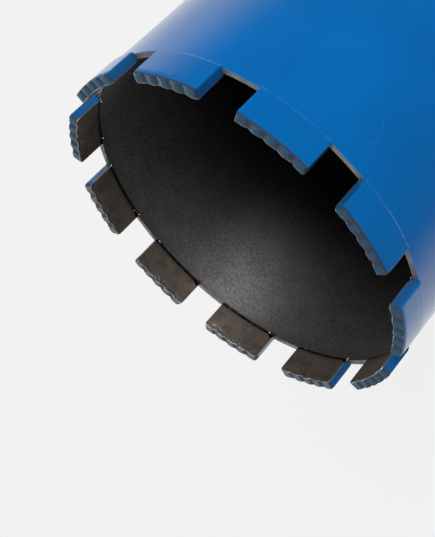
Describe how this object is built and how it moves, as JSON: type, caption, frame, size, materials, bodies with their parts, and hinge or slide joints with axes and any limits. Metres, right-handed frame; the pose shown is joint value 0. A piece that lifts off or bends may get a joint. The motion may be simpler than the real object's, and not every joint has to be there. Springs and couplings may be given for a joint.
{
  "type": "diamond core bit",
  "caption": "Segmented core bit: a thin steel barrel with waved sintered cutting segments on its open end, closed at the other end by a back plate and a threaded hub.",
  "frame": {"origin": "centre of the hub's end face, which the bit stands on", "axes": "+Z along the barrel's axis from the hub towards the cutting end; the hub's two spanner flats face +X and -X; one segment is centred on -Y and one waterway on +Y"},
  "size_m": [0.132, 0.1316, 0.191],
  "materials": {
    "barrel_paint": "glossy blue paint outside, dark bare steel inside",
    "plate_paint": "glossy blue paint",
    "hub_steel": "turned steel",
    "sintered_segment": "matt sintered metal, painted over on the outside"
  },
  "bodies": {
    "root": {"barrel": "barrel_paint", "back_plate": "plate_paint", "hub": "hub_steel", "hub_weld": "plate_paint", "seam_weld": "plate_paint", "segment_01": "sintered_segment", "segment_02": "sintered_segment", "segment_03": "sintered_segment", "segment_04": "sintered_segment", "segment_05": "sintered_segment", "segment_06": "sintered_segment", "segment_07": "sintered_segment", "segment_08": "sintered_segment", "segment_09": "sintered_segment", "segment_10": "sintered_segment", "segment_11": "sintered_segment"}
  },
  "joints": []
}
